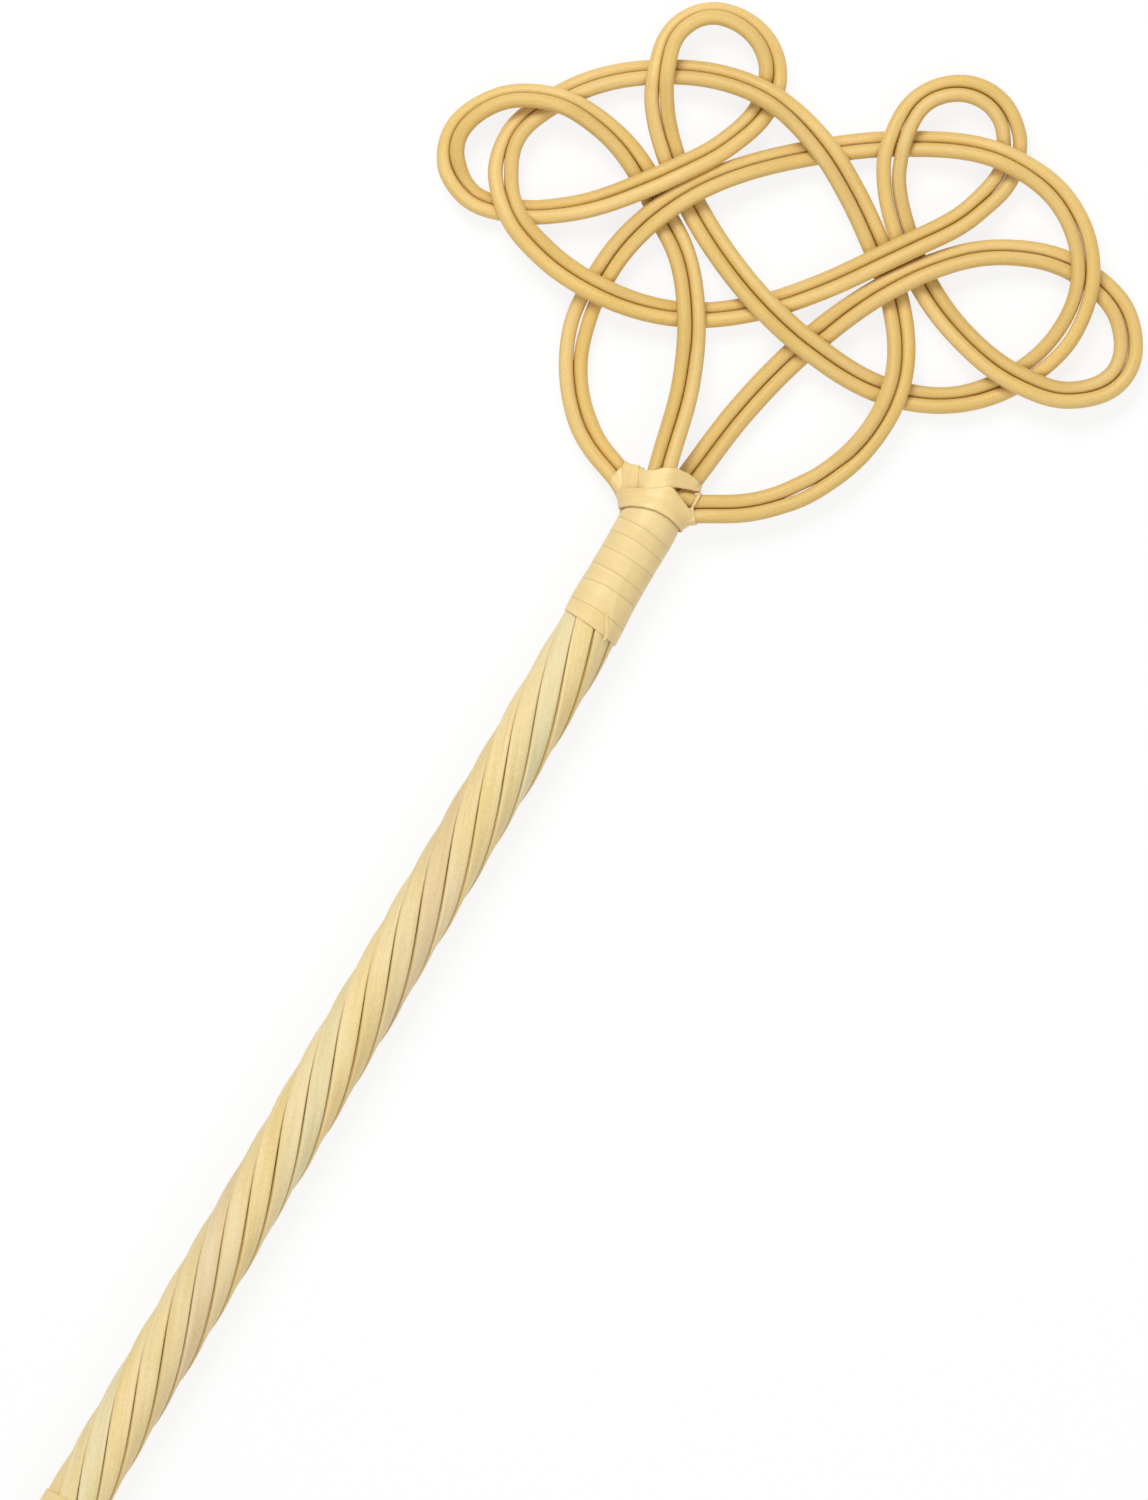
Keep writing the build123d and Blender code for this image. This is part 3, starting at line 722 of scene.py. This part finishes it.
def feed(tree, socket, value):
    """Link a node's output to the socket, or set a plain value on it."""
    if isinstance(value, (int, float, tuple)):
        socket.default_value = value
    else:
        tree.links.new(value, socket)


def maths(tree, operation, a, b):
    node = tree.nodes.new("ShaderNodeMath")
    node.operation = operation
    feed(tree, node.inputs[0], a)
    feed(tree, node.inputs[1], b)
    return node.outputs[0]


def mix_colour(tree, how, factor, a, b):
    node = tree.nodes.new("ShaderNodeMix")
    node.data_type = "RGBA"
    node.blend_type = how
    for socket, value in ((MIX_FACTOR, factor), (MIX_A, a), (MIX_B, b)):
        feed(tree, node.inputs[socket], value)
    return node.outputs[MIX_RESULT]


def shaded(tree, shader, colour, shade):
    """Give the shader the colour, made lighter or darker by the shade."""
    scaled = tree.nodes.new("ShaderNodeVectorMath")
    scaled.operation = "SCALE"
    tree.links.new(colour, scaled.inputs[0])
    tree.links.new(shade, scaled.inputs["Scale"])
    tree.links.new(scaled.outputs["Vector"], shader.inputs["Base Color"])


def bumpy(tree, shader, height, strength, distance):
    bump = add(tree, "ShaderNodeBump", Strength=strength, Distance=distance)
    tree.links.new(height, bump.inputs["Height"])
    tree.links.new(bump.outputs["Normal"], shader.inputs["Normal"])


def cane_material():
    """Peeled rattan: long fine fibres, open pores, slow changes of tone, a satin face and painted
    shade where the canes touch and between the strands.
    """
    material, tree, shader = nodes_of("rattan_cane")
    grain = attribute(tree, "grain", "Vector")
    tint = attribute(tree, "tint", "Color")
    fibres = noise(tree, grain, (2.6, 2.6, 0.035), 4.0)
    pores = noise(tree, grain, (6.0, 6.0, 0.22), 2.0)
    tone = noise(tree, grain, (0.25, 0.25, 0.018), 2.0)
    mottle = noise(tree, grain, (1.7, 1.7, 1.0), 2.0)
    shade = spread(tree, fibres, WIDE, (0.93, 1.05))
    for factor in (
        spread(tree, tone, WIDE, (0.96, 1.035)),
        spread(tree, mottle, NARROW, (0.96, 1.035)),
        spread(tree, pores, PEAKS, (1.0, 0.86)),
        spread(tree, attribute(tree, "cut"), FULL, (1.0, 0.78)),
    ):
        shade = maths(tree, "MULTIPLY", shade, factor)
    warm, cool = (0.985, 0.96, 0.84, 1.0), (1.01, 1.03, 1.13, 1.0)
    change = mix_colour(tree, "MIX", spread(tree, tone, NARROW, FULL), warm, cool)
    base = mix_colour(tree, "MULTIPLY", 1.0, tint, change)
    # Painted shade: darker brown where the canes touch and along the strands' seams
    base = mix_colour(tree, "MULTIPLY", attribute(tree, "contact_shade"), base, (0.52, 0.42, 0.28, 1.0))
    shaded(tree, shader, base, shade)
    tree.links.new(spread(tree, fibres, WIDE, (0.40, 0.56)), shader.inputs["Roughness"])
    shader.inputs["Specular IOR Level"].default_value = 0.4
    height = maths(tree, "SUBTRACT", fibres, spread(tree, pores, PEAKS, (0.0, 0.5)))
    bumpy(tree, shader, height, 0.35, 0.00012)
    return material


def strip_material(name, colour, dark):
    """Flat rattan peel: smooth pale skin with faint lengthwise lines, and painted shade darkening
    its edges.
    """
    material, tree, shader = nodes_of(name)
    grain = attribute(tree, "grain", "Vector")
    lines = noise(tree, grain, (3.2, 0.4, 0.03), 3.0)
    tone = noise(tree, grain, (0.12, 0.1, 0.05), 2.0)
    blend = spread(tree, tone, WIDE, FULL)
    base = mix_colour(tree, "MIX", blend, (*linear(dark), 1.0), (*linear(colour), 1.0))
    # Painted shade: the edges darker, as at the seams between the turns
    edge = spread(tree, attribute(tree, "rim"), FULL, (1.0, 0.84))
    shade = maths(tree, "MULTIPLY", spread(tree, lines, WIDE, (0.96, 1.03)), edge)
    shaded(tree, shader, base, shade)
    tree.links.new(spread(tree, lines, WIDE, (0.34, 0.46)), shader.inputs["Roughness"])
    shader.inputs["Specular IOR Level"].default_value = 0.45
    bumpy(tree, shader, lines, 0.25, 0.0001)
    return material


def core_material():
    """A plain stick: straight grain on its side and rings on its cut ends."""
    material, tree, shader = nodes_of("core_stick")
    where = add(tree, "ShaderNodeTexCoord").outputs["Object"]
    grain = noise(tree, where, (900.0, 25.0, 900.0), 4.0)
    rings = add(
        tree, "ShaderNodeTexWave",
        wave_type="RINGS", rings_direction="Y", Scale=320.0, Distortion=2.0,
    )
    shift = add(tree, "ShaderNodeMapping", Location=(-AXIS_X * MM, 0.0, -AXIS_Z * MM))
    tree.links.new(where, shift.inputs["Vector"])
    tree.links.new(shift.outputs["Vector"], rings.inputs["Vector"])
    both = maths(tree, "MULTIPLY", grain, spread(tree, rings.outputs["Fac"], FULL, (0.85, 1.1)))
    light = (*linear((214, 180, 120)), 1.0)
    dark = (*linear((176, 138, 84)), 1.0)
    base = mix_colour(tree, "MIX", spread(tree, both, (0.25, 0.65), FULL), dark, light)
    tree.links.new(base, shader.inputs["Base Color"])
    tree.links.new(spread(tree, grain, WIDE, (0.55, 0.75)), shader.inputs["Roughness"])
    bumpy(tree, shader, both, 0.3, 0.0001)
    return material


def dress(obj, material, slot, *nodes):
    obj.data.materials.clear()
    obj.data.materials.append(material)
    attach(obj, "root")
    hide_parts(*nodes)


# Canes
PAIR_LINES = {"A": pair_line(PAIR_A), "B": pair_line(PAIR_B)}
lines = dict(zip(CANES, part_layers([head_line(name) for name in CANES], 2 * CANE_RADIUS)))
rattan = cane_material()
for cane_name, line in lines.items():
    dress(cane_object(cane_name, line), rattan, "cane", cane_name)

# Bindings. The ridge's rows are places along the handle, angles and heights.
peel = strip_material("peel_binding", (239, 213, 154), (231, 204, 140))
NECK_SEAMS = [
    (70.4, 70.0, 67.7), (75.2, 76.1, 73.9), (82.9, 84.7, 83.0), (89.6, 90.1, 88.0),
    (96.2, 96.7, 95.5), (102.3, 103.2, 100.9), (107.5, 108.4, 105.8), (114.2, 116.0, 114.4),
    (115.4, 117.0, 115.6),
]
NECK_RIDGE = [
    (66, 70, 77, 85, 93, 100),
    (46, 38, 21, 11, 9.5, 9),
    (0.45, 0.45, 0.42, 0.36, 0.22, 0),
]
NECK_TAIL = [(2.2, 76.8), (4.0, 73.6), (5.6, 71.4), (6.5, 69.6), (6.2, 68.0)]
NECK_TAIL_WIDTHS = (0.7, 1.7, 2.0, 1.8, 1.0)
BUTT_SEAMS = [(-293.9, -294.3, -294.7), (-289.0, -287.7, -286.4), (-282.5, -281.2, -280.0)]
BUTT_SKIN = [(-300, -280), (10.6, 10.6)]
neck_strip = wound("neck_strip", NECK_SEAMS, NECK_SKIN, 1, ridge=NECK_RIDGE)
dress(neck_strip, peel, "peel_strip", "neck_binding")
neck_tail = folded_tail("neck_tail", NECK_TAIL, NECK_TAIL_WIDTHS, NECK_SKIN, 8)
dress(neck_tail, peel, "peel_strip", "neck_binding")
butt_strip = wound("butt_strip", BUTT_SEAMS, BUTT_SKIN, 2)
dress(butt_strip, peel, "peel_strip", "butt_binding")

# Collar: strips drawn tight round the canes where they part, each laid over the one before
END_ROWS = 60
ends = {name: (line[:END_ROWS], line[::-1][:END_ROWS]) for name, line in lines.items()}
every_end = [line for pair in ends.values() for line in pair]
middle_ends = [ends["cane_a_left"][1], ends["cane_a_right"][1]]
middle_ends += [ends["cane_b_left"][0], ends["cane_b_right"][0]]
right_leg = [ends["cane_b_left"][1], ends["cane_b_right"][1]]


# Discs that a skin is drawn round besides the canes: across, height and radius
def neck_hoop(t):
    return [(NECK_SHIFT, AXIS_Z + 0.2, np.interp(t, (110, 115.5, 120), (10.55, 10.5, 8)))]


def middle_posts(t):
    return [(34.6, 13.0, 2.4), (51.0, 9.5, 2.4)]


# The left leg's two canes by how far along it: across and height
LEG_STATIONS = (-47, -44.6, -42, -40, -38.7, -36, -33)
LEG_UPPER = (
    (115.4, 115.6, 116.0, 116.2, 117.4, 120.1, 122.9),
    (13.0, 11.6, 9.4, 7.8, 6.6, 6.0, 5.7),
)
LEG_LOWER = (
    (109.0, 109.0, 109.0, 108.8, 110.2, 113.8, 117.1),
    (13.0, 12.0, 10.0, 8.6, 8.1, 8.1, 8.1),
)
LEG_RADIUS = 2.65
LEG_BELOW = 1.2  # room that the skin leaves under the canes


def leg_posts(t):
    return [
        (np.interp(t, LEG_STATIONS, s), np.interp(t, LEG_STATIONS, z) - below, LEG_RADIUS)
        for s, z in (LEG_UPPER, LEG_LOWER)
        for below in (0, LEG_BELOW)
    ]


LEG_FLAP_END = [(-18.2, 124.7), (-19.4, 121.7), (-20.0, 116.6), (-19.6, 115.4)]
LEG_WRAP_START = [(-12.4, 124.6), (-10.0, 119.8)]
LEG_WRAP_END = [(-18.2, 122.7), (-15.0, 116.8)]
leg_skin = tight_skin((-0.894, -0.447), (-48, -31), [], leg_posts)

# Each strip: name, node, skin, low edge and high edge on top and underneath, seed, lift
COLLAR = [
    (
        "leg_flap", "collar_leg_tie",
        leg_skin,
        ([(-11.6, 126.4), (-9.9, 122.0)], [(-15.1, 124.0), (-14.0, 115.0)]),
        (LEG_FLAP_END, LEG_FLAP_END),
        6, 0.0,
    ),
    (
        "middle_wrap", "collar_upper_band",
        tight_skin((-0.35, 0.937), (95, 132), middle_ends, middle_posts),
        (
            [(-13, 118.5), (-9.5, 118.5), (-4.6, 121.5), (-0.5, 124.5), (0.8, 125.9), (5, 127.7),
             (9.2, 129.2)],
            [(-13, 118.5), (-3, 122), (9.2, 129.2)],
        ),
        (
            [(-12.4, 124.6), (-10.9, 126.1), (-7.8, 128.0), (-6.0, 130.0), (-2.3, 132.0),
             (2.7, 132.6), (6.6, 131.9), (8.5, 131.2)],
            [(-12.4, 124.6), (-2, 129), (8.5, 131.2)],
        ),
        4, 0.0,
    ),
    (
        "leg_wrap", "collar_leg_tie",
        leg_skin,
        (LEG_WRAP_START, LEG_WRAP_START),
        (LEG_WRAP_END, LEG_WRAP_END),
        5, 0.5,
    ),
    (
        "right_wrap", "collar_lower_band",
        tight_skin((1, 0), (5, 17), right_leg, lambda t: []),
        (
            [(8.8, 128.8), (8.9, 126.3), (8.9, 124.2), (9.1, 121.7), (9.5, 118)],
            [(8.8, 128.8), (9.5, 118)],
        ),
        (
            [(10.2, 128.8), (9.9, 126), (9.8, 123.4), (11.5, 121.3), (13.6, 119.2)],
            [(10.2, 128.8), (13.6, 119.2)],
        ),
        7, 0.4,
    ),
    (
        "lower_wrap", "collar_lower_band",
        tight_skin((0, 1), (104, 128), every_end, neck_hoop, (-17, 12)),
        (
            [(-12.0, 110.2), (-8.9, 112.6), (-5.1, 114.3), (-0.5, 115.5), (4.3, 115.6),
             (8.4, 114.7), (10.5, 113.9)],
            [(-12.0, 110.2), (-0.5, 110.8), (10.5, 113.9)],
        ),
        (
            [(-15.4, 114.8), (-14.7, 116.7), (-6.7, 121.1), (-0.9, 125.4), (0.3, 125.5),
             (4.9, 123.7), (9.7, 121.7), (13.2, 119.9)],
            [(-15.4, 114.8), (-7, 119.5), (2, 121), (8, 120.5), (13.2, 119.9)],
        ),
        3, 0.2,
    ),
]
peel_collar = strip_material("peel_collar", (242, 214, 150), (232, 203, 138))
for name, node, skin, low, high, seed, lift in COLLAR:
    dress(patch(name, skin, low, high, seed, lift), peel_collar, "peel_strip", node)

# Core: the solid keeps its place and gets its wood
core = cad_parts["handle_core"]
core.data.materials.clear()
core.data.materials.append(core_material())


def seen_directly(tree):
    """1 for rays from the camera and for reflected and clear ones, 0 for light on surfaces."""
    path = tree.nodes.new("ShaderNodeLightPath")
    seen = maths(tree, "MAXIMUM", path.outputs["Is Camera Ray"], path.outputs["Is Glossy Ray"])
    return maths(tree, "MAXIMUM", seen, path.outputs["Is Transmission Ray"])


# Floor: a pale face that glows to the eye, so that it runs into the white behind it
FLOOR_HALF = 4
FLOOR_Z = -0.0004
GLOW_SHARE = 0.8
corners = [(x * FLOOR_HALF, y * FLOOR_HALF, 0) for x, y in ((-1, -1), (1, -1), (1, 1), (-1, 1))]
floor_mesh = bpy.data.meshes.new("floor")
floor_mesh.from_pydata(corners, [], [(0, 1, 2, 3)])
floor = bpy.data.objects.new("floor", floor_mesh)
floor.location = (0, 0, FLOOR_Z)
bpy.context.scene.collection.objects.link(floor)
material, tree, shader = nodes_of("floor")
shader.inputs["Base Color"].default_value = (0.86, 0.86, 0.86, 1)
shader.inputs["Roughness"].default_value = 0.9
shader.inputs["Specular IOR Level"].default_value = 0.1
glow = add(tree, "ShaderNodeEmission", Strength=1.03)
blend_node = tree.nodes.new("ShaderNodeMixShader")
tree.links.new(maths(tree, "MULTIPLY", seen_directly(tree), GLOW_SHARE), blend_node.inputs[0])
tree.links.new(shader.outputs[0], blend_node.inputs[1])
tree.links.new(glow.outputs[0], blend_node.inputs[2])
tree.links.new(blend_node.outputs[0], tree.nodes["Material Output"].inputs["Surface"])
floor_mesh.materials.append(material)

# Background: white to the eye, half as strong as a light
scene = bpy.context.scene
world = scene.world or bpy.data.worlds.new("world")
scene.world = world
world.use_nodes = True
tree = world.node_tree
backdrop = tree.nodes["Background"]
backdrop.inputs["Color"].default_value = (1, 1, 1, 1)
tree.links.new(spread(tree, seen_directly(tree), FULL, (0.5, 1.0)), backdrop.inputs["Strength"])


def lamp(name, place_at, aim, size, power):
    data = bpy.data.lights.new(name, "AREA")
    data.shape = "DISK"
    data.size = size
    data.energy = power
    obj = bpy.data.objects.new(name, data)
    obj.location = place_at
    obj.rotation_mode = "QUATERNION"
    obj.rotation_quaternion = (Vector(aim) - Vector(place_at)).to_track_quat("-Z", "Y")
    scene.collection.objects.link(obj)


lamp("key", (-0.9, 0.9, 1.6), (0, 0, 0), 1.0, 22)
lamp("fill", (0.9, -0.6, 1.6), (0, 0, 0), 1.4, 8)

# Camera: straight above, turned by the handle's slant in the photograph
FRAME_HEIGHT = 0.51945
FRAMED_AT_Z = 0.010
CAMERA_SPOT = (0.0232, 0.0274)
CAMERA_TURN = math.radians(30.45)
camera_data = bpy.data.cameras.new("camera")
camera_data.sensor_width = 36
camera_data.lens = 200
camera = bpy.data.objects.new("camera", camera_data)
camera_height = FRAMED_AT_Z + FRAME_HEIGHT * camera_data.lens / camera_data.sensor_width
camera.location = (*CAMERA_SPOT, camera_height)
camera.rotation_euler = (0, 0, CAMERA_TURN)
scene.collection.objects.link(camera)
scene.camera = camera
scene.view_settings.view_transform = "Standard"
